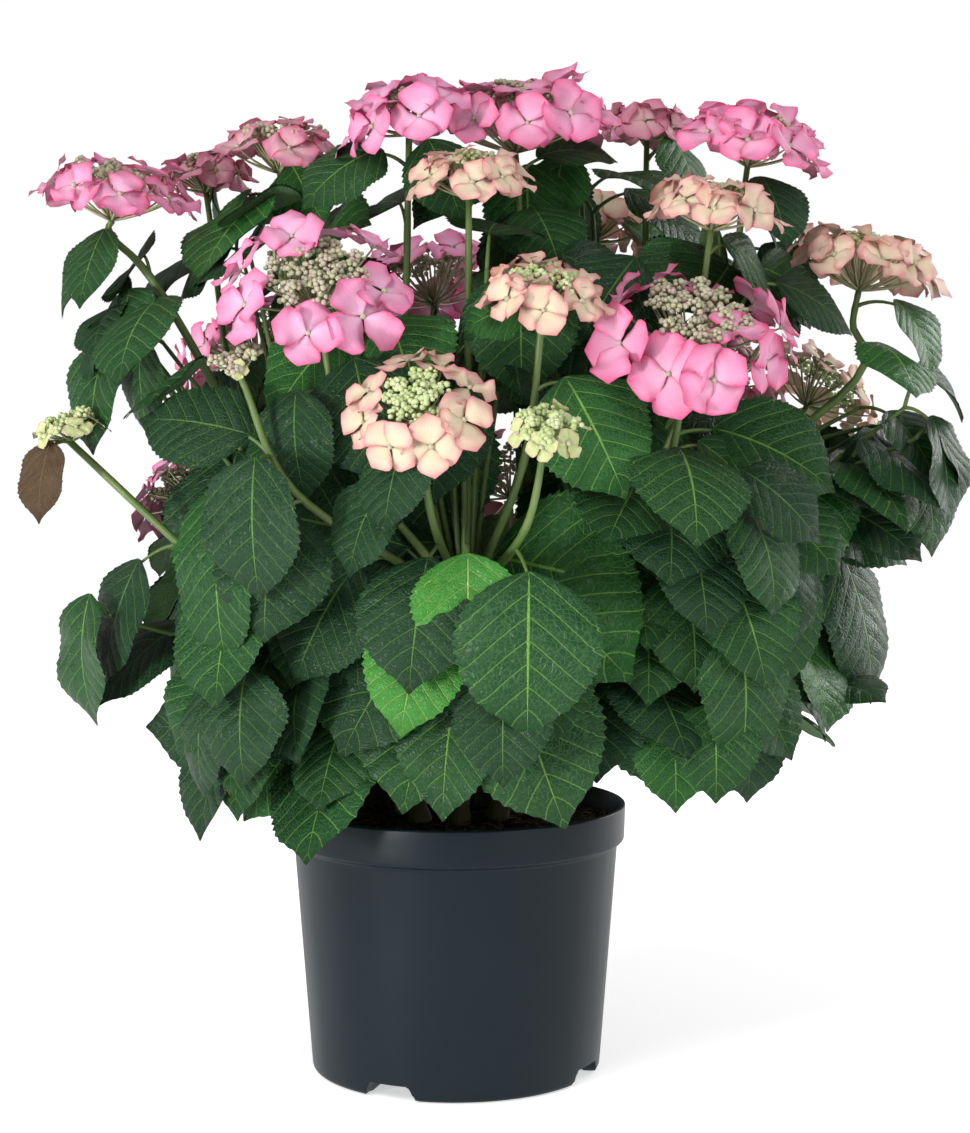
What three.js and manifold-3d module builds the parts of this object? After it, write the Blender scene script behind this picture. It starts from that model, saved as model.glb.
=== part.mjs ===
// A lacecap hydrangea shrub in its round nursery pot: pot, potting soil, canes, masses of foliage and flower heads.
// Millimetres, +Z up. The origin is the middle of the pot's flat underside, and the shrub's front faces -Y.
import * as THREE from "three";
import { mergeVertices } from "three/addons/utils/BufferGeometryUtils.js";
import Module from "manifold-3d";

const wasm = await Module();
wasm.setup();

// Driving dimensions.
const gap = 0.4; // clearance between neighbouring solids
const beyond = 10; // how far a cut reaches past what it cuts
const pot = {
  rimRadius: 140,
  bodyTopRadius: 133.5,
  footRadius: 119.5,
  height: 220,
  bandHeight: 30,
  wall: 3,
  footRounding: 6,
  rimRounding: 1.5,
  sides: 30,
};
const channel = { count: 4, height: 12, wideHalf: 23, narrowHalf: 17, innerEnd: 38, firstAngle: 26 };
const soilTop = 207;
const soilFoot = 18; // clear of the raised drainage channels in the pot's floor
const cane = { footRadius: 7, tipRadius: 4.5, flare: 1.4, sides: 6, steps: 3 };
const flareLength = 0.2; // a limb's foot is flared over this share of its length
// The crown is half an ellipsoid that stands on a level waist, and the flower heads stand about its surface.
const crown = { middle: [30, 20], halfWidth: 375, halfDepth: 300, waist: 450, rise: 340 };
const lump = { depth: 0.1, second: 0.6 }; // of a mass's half size, and the finer waves' share of the coarser ones
const smallMass = 60; // a mass no larger than this, centre to side, is made of fewer faces
const headSides = 8;
const headStalkRadius = 3.5;
const longStalk = 0.8; // how far a head's stalk reaches under its rim, as a share of the head's radius
const boughEnd = 0.3; // how far under a head's rim its bough ends, as a share of the head's width

const colours = {
  pot: { color: 0x2c3438, roughness: 0.35, metalness: 0 },
  soil: { color: 0x2a1d15, roughness: 0.95, metalness: 0 },
  cane: { color: 0x6b7a3c, roughness: 0.7, metalness: 0 },
  leaf: { color: 0x1f4a2a, roughness: 0.55, metalness: 0 },
  pink: { color: 0xeea0c4, roughness: 0.6, metalness: 0 },
  cream: { color: 0xeadbb8, roughness: 0.6, metalness: 0 },
  green: { color: 0xb9cc86, roughness: 0.6, metalness: 0 },
};

// Solids and meshes.
const degrees = THREE.MathUtils.degToRad;

function toSolid(geometry) {
  const bare = new THREE.BufferGeometry();
  const source = geometry.index ? geometry.toNonIndexed() : geometry;
  bare.setAttribute("position", source.getAttribute("position").clone());
  const merged = mergeVertices(bare, 1e-3);
  return new wasm.Manifold(
    new wasm.Mesh({
      numProp: 3,
      vertProperties: merged.attributes.position.array,
      triVerts: new Uint32Array(merged.index.array),
    }),
  );
}

function toGeometry(solid) {
  const { numProp, numVert, vertProperties, triVerts } = solid.getMesh();
  const points = new Float32Array(numVert * 3);
  for (let i = 0; i < numVert; i++) points.set(vertProperties.subarray(i * numProp, i * numProp + 3), i * 3);
  const geometry = new THREE.BufferGeometry();
  geometry.setAttribute("position", new THREE.BufferAttribute(points, 3));
  geometry.setIndex(new THREE.BufferAttribute(triVerts, 1));
  return geometry;
}

const allOf = (solids) => solids.reduce((whole, next) => whole.add(next));
const biggest = (solid) => solid.decompose().sort((a, b) => b.volume() - a.volume())[0];
const lowest = (solid) => solid.decompose().sort((a, b) => a.boundingBox().min[2] - b.boundingBox().min[2])[0];

const shrub = new THREE.Group();

function addNode(name, solid, look) {
  const mesh = new THREE.Mesh(toGeometry(solid), new THREE.MeshStandardMaterial(colours[look]));
  mesh.name = name;
  shrub.add(mesh);
}

// A round solid about +Z from [radius, height] pairs that start and end on the axis.
function turned(outline, sides) {
  const profile = outline.map(([radius, height]) => new THREE.Vector2(radius, height));
  const geometry = new THREE.LatheGeometry(profile, sides);
  geometry.rotateX(Math.PI / 2);
  return toSolid(geometry);
}

// Pot: a thin tapered wall under a deeper rim band, standing on four lobes between raised drainage channels.
const bandFoot = pot.height - pot.bandHeight;

function wallRadius(height) {
  return THREE.MathUtils.mapLinear(height, 0, bandFoot, pot.footRadius, pot.bodyTopRadius);
}

function potHollow(floor, shrink, top) {
  return turned(
    [
      [0, floor],
      [wallRadius(0) - pot.wall - pot.footRounding - shrink, floor],
      [wallRadius(floor + pot.footRounding) - pot.wall - shrink, floor + pot.footRounding],
      [wallRadius(bandFoot) - pot.wall - shrink, bandFoot],
      [wallRadius(bandFoot) - pot.wall - shrink, top],
      [0, top],
    ],
    pot.sides,
  );
}

// The radial channels under the pot, swollen by a wall's thickness where grown is above zero.
function channels(grown) {
  const section = new THREE.Shape();
  section.moveTo(-channel.wideHalf - grown, -1);
  section.lineTo(channel.wideHalf + grown, -1);
  section.lineTo(channel.narrowHalf + grown, channel.height + grown);
  section.lineTo(-channel.narrowHalf - grown, channel.height + grown);
  const start = channel.innerEnd - grown;
  const length = pot.footRadius + pot.footRounding * 2 - start;
  const made = [];
  for (let i = 0; i < channel.count; i++) {
    const bar = new THREE.ExtrudeGeometry(section, { depth: length, bevelEnabled: false });
    bar.rotateX(Math.PI / 2);
    bar.translate(0, -start, 0);
    bar.rotateZ(degrees(-channel.firstAngle + (i * 360) / channel.count));
    made.push(toSolid(bar));
  }
  return allOf(made);
}

const potOutside = turned(
  [
    [0, 0],
    [pot.footRadius - pot.footRounding, 0],
    [pot.footRadius - pot.footRounding * 0.3, pot.footRounding * 0.3],
    [pot.footRadius, pot.footRounding],
    [pot.bodyTopRadius, bandFoot - 1],
    [pot.rimRadius - 1, bandFoot],
    [pot.rimRadius, bandFoot + pot.rimRounding],
    [pot.rimRadius, pot.height - pot.rimRounding],
    [pot.rimRadius - pot.rimRounding, pot.height],
    [0, pot.height],
  ],
  pot.sides,
);
const potSolid = potOutside
  .subtract(potHollow(pot.wall, 0, pot.height + beyond).subtract(channels(pot.wall)))
  .subtract(channels(0));
addNode("pot", biggest(potSolid), "pot");
addNode("soil", potHollow(soilFoot, gap, soilTop), "soil");

// Foliage: an ellipsoid with lumps of its own, from a few sine waves over its direction.
function lumpyMass({ at, half, seed }, grown) {
  const geometry = new THREE.IcosahedronGeometry(1, Math.max(...half) > smallMass ? 2 : 1);
  const points = geometry.getAttribute("position");
  const place = new THREE.Vector3();
  for (let i = 0; i < points.count; i++) {
    const d = place.fromBufferAttribute(points, i).normalize();
    const lumps =
      Math.sin(4.1 * d.x + seed) * Math.sin(3.7 * d.y + 2 * seed) +
      lump.second * Math.sin(6.3 * d.z + 5.2 * d.x + 3 * seed);
    const swell = 1 + lump.depth * lumps;
    points.setXYZ(
      i,
      at[0] + d.x * (half[0] * swell + grown),
      at[1] + d.y * (half[1] * swell + grown),
      at[2] + d.z * (half[2] * swell + grown),
    );
  }
  return toSolid(geometry);
}

// Where a head stands: across and forward are shares of the crown's halves, and lift is its height above the crown.
// It leans outwards unless toward gives another compass angle, which is 0 at +X and -90 at the front.
function headPlace({ across, forward, lift = 0, lean, toward }) {
  const outward = new THREE.Vector3(across * crown.halfWidth, -forward * crown.halfDepth, 0);
  const turn = toward === undefined ? Math.atan2(outward.y, outward.x) : degrees(toward);
  const height = crown.waist + crown.rise * Math.sqrt(1 - across ** 2 - forward ** 2) + lift;
  return new THREE.Matrix4()
    .makeTranslation(crown.middle[0] + outward.x, crown.middle[1] + outward.y, height)
    .multiply(new THREE.Matrix4().makeRotationZ(turn))
    .multiply(new THREE.Matrix4().makeRotationY(degrees(lean)));
}

// Flower head: a shallow dome on a stalk, with the middle of the dome's rim at its place.
function headSolid(head, grown) {
  const { width, stalk = longStalk } = head;
  const radius = width / 2 + grown;
  const stalkRadius = headStalkRadius + grown;
  const solid = turned(
    [
      [0, -radius * stalk - grown],
      [stalkRadius, -radius * stalk - grown],
      [stalkRadius, -radius * 0.5],
      [radius * 0.85, -radius * 0.28],
      [radius, -radius * 0.04],
      [radius * 0.72, radius * 0.24],
      [0, radius * 0.32],
    ],
    headSides,
  );
  return solid.transform(headPlace(head).elements);
}

// A limb with taper, bent from foot to tip by a bow at mid length, flat at its foot.
function limbSolid({ foot, tip, bow = [0, 0, 0], footRadius, tipRadius, flare = 1 }) {
  const tube = new THREE.CylinderGeometry(1, 1, 1, cane.sides, cane.steps);
  tube.rotateX(Math.PI / 2);
  const points = tube.getAttribute("position");
  const start = new THREE.Vector3(...foot);
  const end = new THREE.Vector3(...tip);
  const middle = start.clone().add(end).multiplyScalar(0.5).add(new THREE.Vector3(...bow));
  const line = new THREE.QuadraticBezierCurve3(start, middle, end);
  for (let i = 0; i < points.count; i++) {
    const along = points.getZ(i) + 0.5;
    const on = line.getPoint(along);
    const swell = 1 + (flare - 1) * Math.max(0, 1 - along / flareLength);
    const radius = THREE.MathUtils.lerp(footRadius, tipRadius, along) * swell;
    points.setXYZ(i, on.x + points.getX(i) * radius, on.y + points.getY(i) * radius, on.z);
  }
  return toSolid(tube);
}

// The flower heads by stage of bloom: pink, cream and green.
const heads = {
  pink: {
    left_tip: { across: -0.8, forward: 0.2, lift: 80, width: 140, lean: 10, toward: -40 },
    left_back: { across: -0.65, forward: -0.15, lift: 40, width: 90, lean: 10 },
    left_mid: { across: -0.45, forward: 0.05, width: 110, lean: 5 },
    left_front: { across: -0.35, forward: 0.7, lift: -20, width: 150, lean: 40, toward: -90, stalk: 0.5 },
    top_mid: { across: 0.05, forward: 0.1, width: 180, lean: 10, toward: -90 },
    right_top: { across: 0.55, forward: 0.25, lift: 40, width: 130, lean: 15, toward: -50 },
    right_back: { across: 0.35, forward: -0.15, lift: 20, width: 80, lean: 5 },
    right_front: { across: 0.4, forward: 0.65, lift: -60, width: 170, lean: 35, toward: -80, stalk: 0.5 },
    back_left: { across: -0.6, forward: -0.6, lift: -20, width: 150, lean: 35 },
    back_mid: { across: -0.15, forward: -0.7, lift: -20, width: 150, lean: 25 },
    back_right: { across: 0.55, forward: -0.6, lift: -60, width: 150, lean: 35 },
    back_low: { across: 0.05, forward: -0.9, lift: -120, width: 140, lean: 55, stalk: 0.5 },
    left_side: { across: -0.75, forward: -0.5, lift: -120, width: 110, lean: 50, stalk: 0.5 },
    top_left: { across: -0.2, forward: 0.3, width: 100, lean: 10 },
  },
  cream: {
    cream_mid: { across: -0.05, forward: 0.5, lift: -20, width: 100, lean: 10 },
    cream_right: { across: 0.45, forward: 0.5, width: 110, lean: 10 },
    right_tip: { across: 0.8, forward: 0.15, lift: 20, width: 140, lean: 10 },
    cream_front: { across: 0.1, forward: 0.75, lift: -40, width: 100, lean: 20 },
    centre_low: { across: -0.15, forward: 0.9, lift: -40, width: 110, lean: 50, stalk: 0.5 },
    back_high: { across: 0.25, forward: -0.5, lift: -20, width: 110, lean: 20 },
    back_side: { across: 0.8, forward: -0.4, lift: -40, width: 110, lean: 40, stalk: 0.5 },
  },
  green: {
    green_low: { across: 0.1, forward: 0.95, lift: -20, width: 60, lean: 30 },
    brown_bud: { across: -0.5, forward: 0.75, lift: -20, width: 45, lean: 20 },
    left_green: { across: -0.9, forward: 0.25, lift: -40, width: 65, lean: 15 },
  },
};
const allHeads = { ...heads.pink, ...heads.cream, ...heads.green };

// The masses of foliage, inner ones first: an outer one is hollowed where it laps over those before it.
const masses = {
  core: { at: [10, 20, 460], half: [110, 110, 165], seed: 0.3 },
  low_front_left: { at: [-125, -115, 318], half: [88, 85, 82], seed: 1.1 },
  low_front_mid: { at: [45, -168, 308], half: [90, 62, 82], seed: 2.4 },
  low_front_right: { at: [175, -115, 318], half: [80, 90, 88], seed: 3.2 },
  low_right: { at: [262, -20, 316], half: [82, 100, 56], seed: 5.7 },
  low_left: { at: [-165, 35, 385], half: [72, 85, 125], seed: 4.5 },
  low_back_left: { at: [-120, 175, 360], half: [110, 112, 115], seed: 6.1 },
  low_back_right: { at: [145, 170, 360], half: [120, 112, 115], seed: 7.9 },
  mid_front_left: { at: [-150, -115, 478], half: [92, 85, 92], seed: 8.4 },
  mid_front: { at: [10, -172, 452], half: [92, 72, 88], seed: 9.6 },
  mid_front_right: { at: [188, -120, 450], half: [98, 92, 88], seed: 10.2 },
  mid_right: { at: [222, 30, 440], half: [72, 95, 90], seed: 11.1 },
  high_left: { at: [-246, -20, 598], half: [64, 70, 54], seed: 11.8 },
  high_mid_left: { at: [-132, -5, 650], half: [92, 90, 80], seed: 12.9 },
  high_front: { at: [10, -88, 612], half: [95, 80, 85], seed: 13.3 },
  high_mid: { at: [75, 35, 692], half: [95, 85, 60], seed: 13.8 },
  high_front_right: { at: [188, -60, 612], half: [108, 95, 85], seed: 14.9 },
  high_right: { at: [340, 0, 500], half: [66, 90, 88], seed: 12.5 },
  high_back_left: { at: [-130, 135, 565], half: [105, 105, 92], seed: 15.4 },
  high_back_right: { at: [160, 135, 580], half: [115, 105, 95], seed: 16.8 },
  branch_leaves_high: { at: [-286, -58, 482], half: [44, 26, 32], seed: 17.6 },
  branch_leaves_low: { at: [-272, -55, 352], half: [50, 28, 60], seed: 18.3 },
  low_hanging_left: { at: [-185, -92, 262], half: [48, 34, 54], seed: 19.7 },
  low_hanging_front: { at: [-92, -172, 240], half: [60, 16, 54], seed: 20.5 },
};

// Boughs that show between the masses and the flower heads that they carry.
const boughs = {
  bough_left_high: { foot: [-225, -40, 620], carries: "left_tip", bow: [-8, 0, 2] },
  bough_left_low: { foot: [-165, -65, 392], carries: "left_green", bow: [-20, 0, -22] },
  bough_right_high: { foot: [318, -20, 560], carries: "right_tip", bow: [-4, 0, 0] },
};
const boughRadii = { footRadius: 4.5, tipRadius: 3.2 };

// A bough ends on its head's own axis, under the rim.
function boughTip({ carries }) {
  const head = allHeads[carries];
  return new THREE.Vector3(0, 0, -head.width * boughEnd).applyMatrix4(headPlace(head)).toArray();
}

// Canes: they rise from a small ring in the soil and lean out into the foliage.
const caneTips = {
  cane_front_left: [-95, -85, 400],
  cane_front_mid: [10, -125, 390],
  cane_front_right: [110, -80, 400],
  cane_right: [150, 25, 420],
  cane_back_right: [80, 120, 400],
  cane_back_left: [-75, 120, 400],
  cane_left: [-130, 15, 420],
};
const caneRing = 0.3; // how far out a cane's foot stands, as a share of its tip's reach
const caneBow = { inwards: 0.12, up: 10 }; // inwards is a share of its tip's reach

const headList = [];
for (const [look, group] of Object.entries(heads)) {
  for (const [name, head] of Object.entries(group)) {
    const earlier = headList.map((other) => other.room);
    const whole = headSolid(head, 0);
    const solid = earlier.length ? biggest(whole.subtract(allOf(earlier))) : whole;
    headList.push({ name: "head_" + name, look, solid, room: headSolid(head, gap) });
  }
}

const boughList = Object.entries(boughs).map(([name, bough]) => {
  const line = { foot: bough.foot, tip: boughTip(bough), bow: bough.bow };
  const heldBack = limbSolid({ ...line, ...boughRadii }).subtract(allOf(headList.map((head) => head.room)));
  const room = limbSolid({
    ...line,
    footRadius: boughRadii.footRadius + gap,
    tipRadius: boughRadii.tipRadius + gap,
  });
  return { name, solid: biggest(heldBack), room };
});

const room = allOf([...headList, ...boughList].map((item) => item.room)).add(
  turned(
    [
      [0, -gap],
      [pot.rimRadius + gap, -gap],
      [pot.rimRadius + gap, pot.height + gap],
      [0, pot.height + gap],
    ],
    pot.sides,
  ),
);
const massList = [];
for (const [name, mass] of Object.entries(masses)) {
  const taken = allOf([room, ...massList.map((other) => other.room)]);
  massList.push({
    name: "foliage_" + name,
    solid: biggest(lumpyMass(mass, 0).subtract(taken)),
    room: lumpyMass(mass, gap),
  });
}

const massRoom = allOf(massList.map((mass) => mass.room));
for (const [name, tip] of Object.entries(caneTips)) {
  const foot = [tip[0] * caneRing, tip[1] * caneRing, soilTop + gap];
  const bow = [-tip[0] * caneBow.inwards, -tip[1] * caneBow.inwards, caneBow.up];
  const limb = limbSolid({ foot, tip, bow, ...cane });
  addNode(name, lowest(limb.subtract(massRoom)), "cane");
}
for (const { name, solid } of boughList) addNode(name, solid, "cane");
for (const { name, solid } of massList) addNode(name, solid, "leaf");
for (const { name, look, solid } of headList) addNode(name, solid, look);

export default shrub;
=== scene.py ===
import math

import bpy
import numpy as np
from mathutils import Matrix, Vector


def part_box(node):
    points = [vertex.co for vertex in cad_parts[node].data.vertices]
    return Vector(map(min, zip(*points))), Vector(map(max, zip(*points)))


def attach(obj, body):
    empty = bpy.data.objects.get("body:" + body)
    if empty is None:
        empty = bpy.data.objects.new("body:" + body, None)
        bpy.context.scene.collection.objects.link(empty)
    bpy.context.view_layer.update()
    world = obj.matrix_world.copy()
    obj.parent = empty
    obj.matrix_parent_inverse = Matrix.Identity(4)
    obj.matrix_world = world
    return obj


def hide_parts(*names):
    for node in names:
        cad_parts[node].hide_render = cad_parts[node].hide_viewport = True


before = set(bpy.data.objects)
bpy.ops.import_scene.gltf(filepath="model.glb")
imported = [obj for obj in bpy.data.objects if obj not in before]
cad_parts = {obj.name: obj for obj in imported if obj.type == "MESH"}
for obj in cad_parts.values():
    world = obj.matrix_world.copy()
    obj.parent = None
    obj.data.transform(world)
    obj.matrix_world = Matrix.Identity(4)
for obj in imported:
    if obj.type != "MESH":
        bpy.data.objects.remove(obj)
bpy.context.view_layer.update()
print("frame loaded:", len(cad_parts), "solids")

up = np.array([0.0, 0.0, 1.0])
scene = bpy.context.scene


# small tools for arrays and meshes

def unit(v):
    # v over its own length
    return v / np.maximum(np.linalg.norm(v, axis=-1, keepdims=True), 1e-9)


def ease(x):
    # 3x^2 - 2x^3, held at 0 and 1 outside that span
    x = np.clip(x, 0, 1)
    return x * x * (3 - 2 * x)


def nodePoints(name):
    # a solid's corners, each once
    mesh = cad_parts[name].data
    points = np.empty(len(mesh.vertices) * 3, np.float32)
    mesh.vertices.foreach_get("co", points)
    return np.unique(points.reshape(-1, 3).astype(float).round(5), axis=0)


def gridFaces(rows, cols, around=False):
    # quads between neighbouring rows and columns; around joins the last column to the first
    r, c = np.meshgrid(np.arange(rows - 1), np.arange(cols if around else cols - 1), indexing="ij")
    n = (c + 1) % cols
    return np.stack([r * cols + c, r * cols + n, (r + 1) * cols + n, (r + 1) * cols + c], -1).reshape(-1, 4)


def repeatFaces(faces, count, stride):
    # the same faces for each of count copies whose points follow each other
    return (faces[None] + stride * np.arange(count)[:, None, None]).reshape(-1, faces.shape[1])


def makePiece(name, points, faces, skin, slot, uv=None, replaced=()):
    # one joined mesh from arrays, which moves with the whole object
    points = np.asarray(points, np.float32).reshape(-1, 3)
    mesh = bpy.data.meshes.new(name)
    mesh.vertices.add(len(points))
    mesh.vertices.foreach_set("co", points.ravel())
    mesh.loops.add(faces.size)
    mesh.loops.foreach_set("vertex_index", faces.astype(np.int32).ravel())
    mesh.polygons.add(len(faces))
    mesh.polygons.foreach_set("loop_start", np.arange(0, faces.size, faces.shape[1], dtype=np.int32))
    mesh.update(calc_edges=True)
    mesh.shade_smooth()
    if uv is not None:
        layer = mesh.uv_layers.new(name="OFBake")
        layer.uv.foreach_set("vector", uv[faces.ravel()].astype(np.float32).ravel())
    mesh.materials.append(skin)
    piece = bpy.data.objects.new(name, mesh)
    scene.collection.objects.link(piece)
    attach(piece, "root")
    if replaced:
        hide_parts(*replaced)
    print(f"  {name}: {len(faces) * (faces.shape[1] - 2)} triangles")
    return piece


def tubePoints(paths, radii, sides):
    # circles square to each path: path + radius (side cos a + other sin a), with one more at each end that is
    # a twentieth as wide
    along = unit(np.gradient(paths, axis=1))
    level = np.where(np.abs(along[:, :1, 2:]) > 0.8, [1.0, 0.0, 0.0], [0.0, 0.0, 1.0])
    side = unit(np.cross(along, level))
    other = np.cross(along, side)
    turn = 2 * np.pi * np.arange(sides) / sides
    ring = side[:, :, None] * np.cos(turn)[:, None] + other[:, :, None] * np.sin(turn)[:, None]
    points = paths[:, :, None] + radii[:, :, None, None] * ring
    first, last = (paths[:, i, None, None] + 0.05 * (points[:, i, None] - paths[:, i, None, None])
                   for i in (0, -1))
    return np.concatenate([first, points, last], axis=1)


def tubePiece(name, groups, sides, skin, slot, **rest):
    # groups of tubes, each group with its own number of steps, joined into one piece
    points, faces, start = [], [], 0
    for paths, radii in groups:
        made = tubePoints(paths, radii, sides)
        count, rows = made.shape[:2]
        points.append(made.reshape(-1, 3))
        faces.append(start + repeatFaces(gridFaces(rows, sides, around=True), count, rows * sides))
        start += count * rows * sides
    return makePiece(name, np.concatenate(points), np.concatenate(faces), skin, slot, **rest)


def curveThrough(stops, steps):
    # Catmull-Rom: each span is a cubic whose end slopes are half the way between its neighbours
    stops = np.asarray(stops, float)
    padded = np.concatenate([[2 * stops[0] - stops[1]], stops, [2 * stops[-1] - stops[-2]]])
    t = np.linspace(0, len(stops) - 1, steps)
    i = np.minimum(t.astype(int), len(stops) - 2)
    s = (t - i)[:, None]
    a, b, c, d = padded[i], padded[i + 1], padded[i + 2], padded[i + 3]
    return 0.5 * (2 * b + (c - a) * s + (2 * a - 5 * b + 4 * c - d) * s**2 + (3 * b - a - 3 * c + d) * s**3)


def arches(starts, middles, ends, steps):
    # quadratic curves: (1-t)^2 start + 2t(1-t) middle + t^2 end
    t = np.linspace(0, 1, steps)[None, :, None]
    return (1 - t) ** 2 * starts[:, None] + 2 * t * (1 - t) * middles[:, None] + t**2 * ends[:, None]


# materials

def nodeTree(name):
    # a new material, its node tree and its shader
    skin = bpy.data.materials.new(name)
    skin.use_nodes = True
    return skin, skin.node_tree, skin.node_tree.nodes["Principled BSDF"]


def addNode(tree, kind, settings=None, **inputs):
    # a node with its settings, and its inputs set by name or number to a value or another node's output
    made = tree.nodes.new("ShaderNode" + kind)
    for key, value in (settings or {}).items():
        setattr(made, key, value)
    for key, value in inputs.items():
        socket = made.inputs[int(key[2:])] if key.startswith("in") and key[2:].isdigit() else made.inputs[key]
        if isinstance(value, bpy.types.NodeSocket):
            tree.links.new(value, socket)
        else:
            socket.default_value = value
    return made


def calc(tree, operation, *values):
    # the result of one Math node
    inputs = {f"in{i}": value for i, value in enumerate(values)}
    return addNode(tree, "Math", {"operation": operation}, **inputs).outputs[0]


def blendColours(tree, share, first, second):
    # first at a share of 0, second at 1
    made = addNode(tree, "Mix", {"data_type": "RGBA"})
    for socket, value in zip((made.inputs[0], made.inputs[6], made.inputs[7]), (share, first, second)):
        if isinstance(value, bpy.types.NodeSocket):
            tree.links.new(value, socket)
        else:
            socket.default_value = (*value, 1) if isinstance(value, tuple) else value
    return made.outputs[2]


def spread(tree, value, low, high, first=0.0, last=1.0):
    # value's span from low to high laid over first to last
    names = ("Value", "From Min", "From Max", "To Min", "To Max")
    return addNode(tree, "MapRange", {}, **dict(zip(names, (value, low, high, first, last)))).outputs[0]


def bump(tree, shader, height, distance, strength=1.0):
    made = addNode(tree, "Bump", {}, Height=height, Distance=distance, Strength=strength)
    tree.links.new(made.outputs["Normal"], shader.inputs["Normal"])


def setShader(shader, **values):
    names = {"roughness": "Roughness", "specular": "Specular IOR Level", "sheen": "Sheen Weight",
             "sheenRoughness": "Sheen Roughness"}
    for key, value in values.items():
        shader.inputs[names[key]].default_value = value


leafVeins = {
    "pairs": 7.5,
    "sweep": 0.36,  # a side vein's run forward to the margin at the widest, as a share of the length
    "curve": 1.12,
    "swell": (0.8, 0.8),  # inner and outer power of the blade's half width, sin(pi u^inner)^outer
}


def leafSkin(name, colour, veinColour, edgeColour, roughness, veinShare=0.9, underside=False):
    # Along and across the blade: a midrib, side veins that sweep forward, and a net of fine ones between.
    skin, tree, shader = nodeTree(name)
    place = addNode(tree, "UVMap", {"uv_map": "OFBake"}).outputs[0]
    axes = addNode(tree, "SeparateXYZ", {}, Vector=place).outputs
    across = calc(tree, "ABSOLUTE", calc(tree, "MULTIPLY_ADD", axes[1], 2.0, -1.0))
    inner, outer = leafVeins["swell"]
    swelling = calc(tree, "SINE", calc(tree, "MULTIPLY", calc(tree, "POWER", axes[0], inner), math.pi))
    wide = calc(tree, "POWER", calc(tree, "MAXIMUM", swelling, 0.01), outer)
    forward = calc(tree, "MULTIPLY", calc(tree, "POWER", across, leafVeins["curve"]), leafVeins["sweep"])
    swept = calc(tree, "MULTIPLY", forward, wide)
    phase = calc(tree, "MULTIPLY", calc(tree, "SUBTRACT", axes[0], swept), leafVeins["pairs"])
    away = calc(tree, "PINGPONG", phase, 0.5)
    sideVein = spread(tree, away, 0.018, 0.06, 1.0, 0.0)
    ribWidth = calc(tree, "MULTIPLY_ADD", axes[0], -0.022, 0.036)
    rib = spread(tree, calc(tree, "DIVIDE", across, ribWidth), 0.5, 1.1, 1.0, 0.0)
    net = addNode(tree, "TexVoronoi", {"feature": "DISTANCE_TO_EDGE"}, Scale=1.0,
                  Vector=addNode(tree, "Mapping", {}, Vector=place, Scale=(34, 26, 1)).outputs[0])
    netVein = spread(tree, net.outputs["Distance"], 0.0, 0.16, 1.0, 0.0)
    veins = calc(tree, "MAXIMUM", rib, calc(tree, "MULTIPLY", sideVein, 0.62))
    mottle = addNode(tree, "TexNoise", {}, Vector=place, Scale=5.0, Detail=3.0).outputs["Fac"]
    mottled = blendColours(tree, spread(tree, mottle, 0.3, 0.7, 0.0, 0.55), colour, edgeColour)
    between = blendColours(tree, calc(tree, "MULTIPLY", netVein, 0.14), mottled, veinColour)
    tinted = blendColours(tree, calc(tree, "MULTIPLY", veins, veinShare), between, veinColour)
    tree.links.new(tinted, shader.inputs["Base Color"])
    relief = calc(tree, "ADD", calc(tree, "MULTIPLY", veins, 1.0), calc(tree, "MULTIPLY", netVein, 0.45))
    pillow = calc(tree, "SUBTRACT", calc(tree, "MULTIPLY", spread(tree, away, 0.0, 0.4), 0.8), relief)
    bump(tree, shader, pillow if not underside else relief, 0.0009)
    shine = spread(tree, mottle, 0.3, 0.7, roughness - 0.05, roughness + 0.08)
    tree.links.new(shine, shader.inputs["Roughness"])
    setShader(shader, specular=0.22 if not underside else 0.15)
    return skin


def sepalSkin(name, colour, rimColour, heartColour, rim=0.95):
    # Paler towards the heart, flushed at the margin, with fine veins that run out along the sepal.
    skin, tree, shader = nodeTree(name)
    place = addNode(tree, "UVMap", {"uv_map": "OFBake"}).outputs[0]
    axes = addNode(tree, "SeparateXYZ", {}, Vector=place).outputs
    across = calc(tree, "ABSOLUTE", calc(tree, "MULTIPLY_ADD", axes[1], 2.0, -1.0))
    margin = calc(tree, "MAXIMUM", calc(tree, "POWER", across, 3.5), calc(tree, "POWER", axes[0], 4.5))
    patches = addNode(tree, "TexNoise", {}, Vector=place, Scale=4.0, Detail=2.0).outputs["Fac"]
    uneven = spread(tree, patches, 0.3, 0.7, 0.7, 1.15)
    flush = calc(tree, "MULTIPLY", calc(tree, "MULTIPLY", margin, rim), uneven)
    heart = spread(tree, axes[0], 0.02, 0.55, 1.0, 0.0)
    body = blendColours(tree, calc(tree, "MULTIPLY", heart, 0.7), colour, heartColour)
    rays = calc(tree, "PINGPONG", calc(tree, "MULTIPLY", axes[1], 12.0), 0.5)
    fine = spread(tree, rays, 0.0, 0.2, 1.0, 0.0)
    veined = blendColours(tree, calc(tree, "MULTIPLY", fine, 0.07), body, rimColour)
    tree.links.new(blendColours(tree, flush, veined, rimColour), shader.inputs["Base Color"])
    bump(tree, shader, calc(tree, "ADD", calc(tree, "MULTIPLY", fine, -0.12), patches), 0.0004)
    setShader(shader, roughness=0.55, specular=0.25, sheen=0.12, sheenRoughness=0.4)
    return skin


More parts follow.
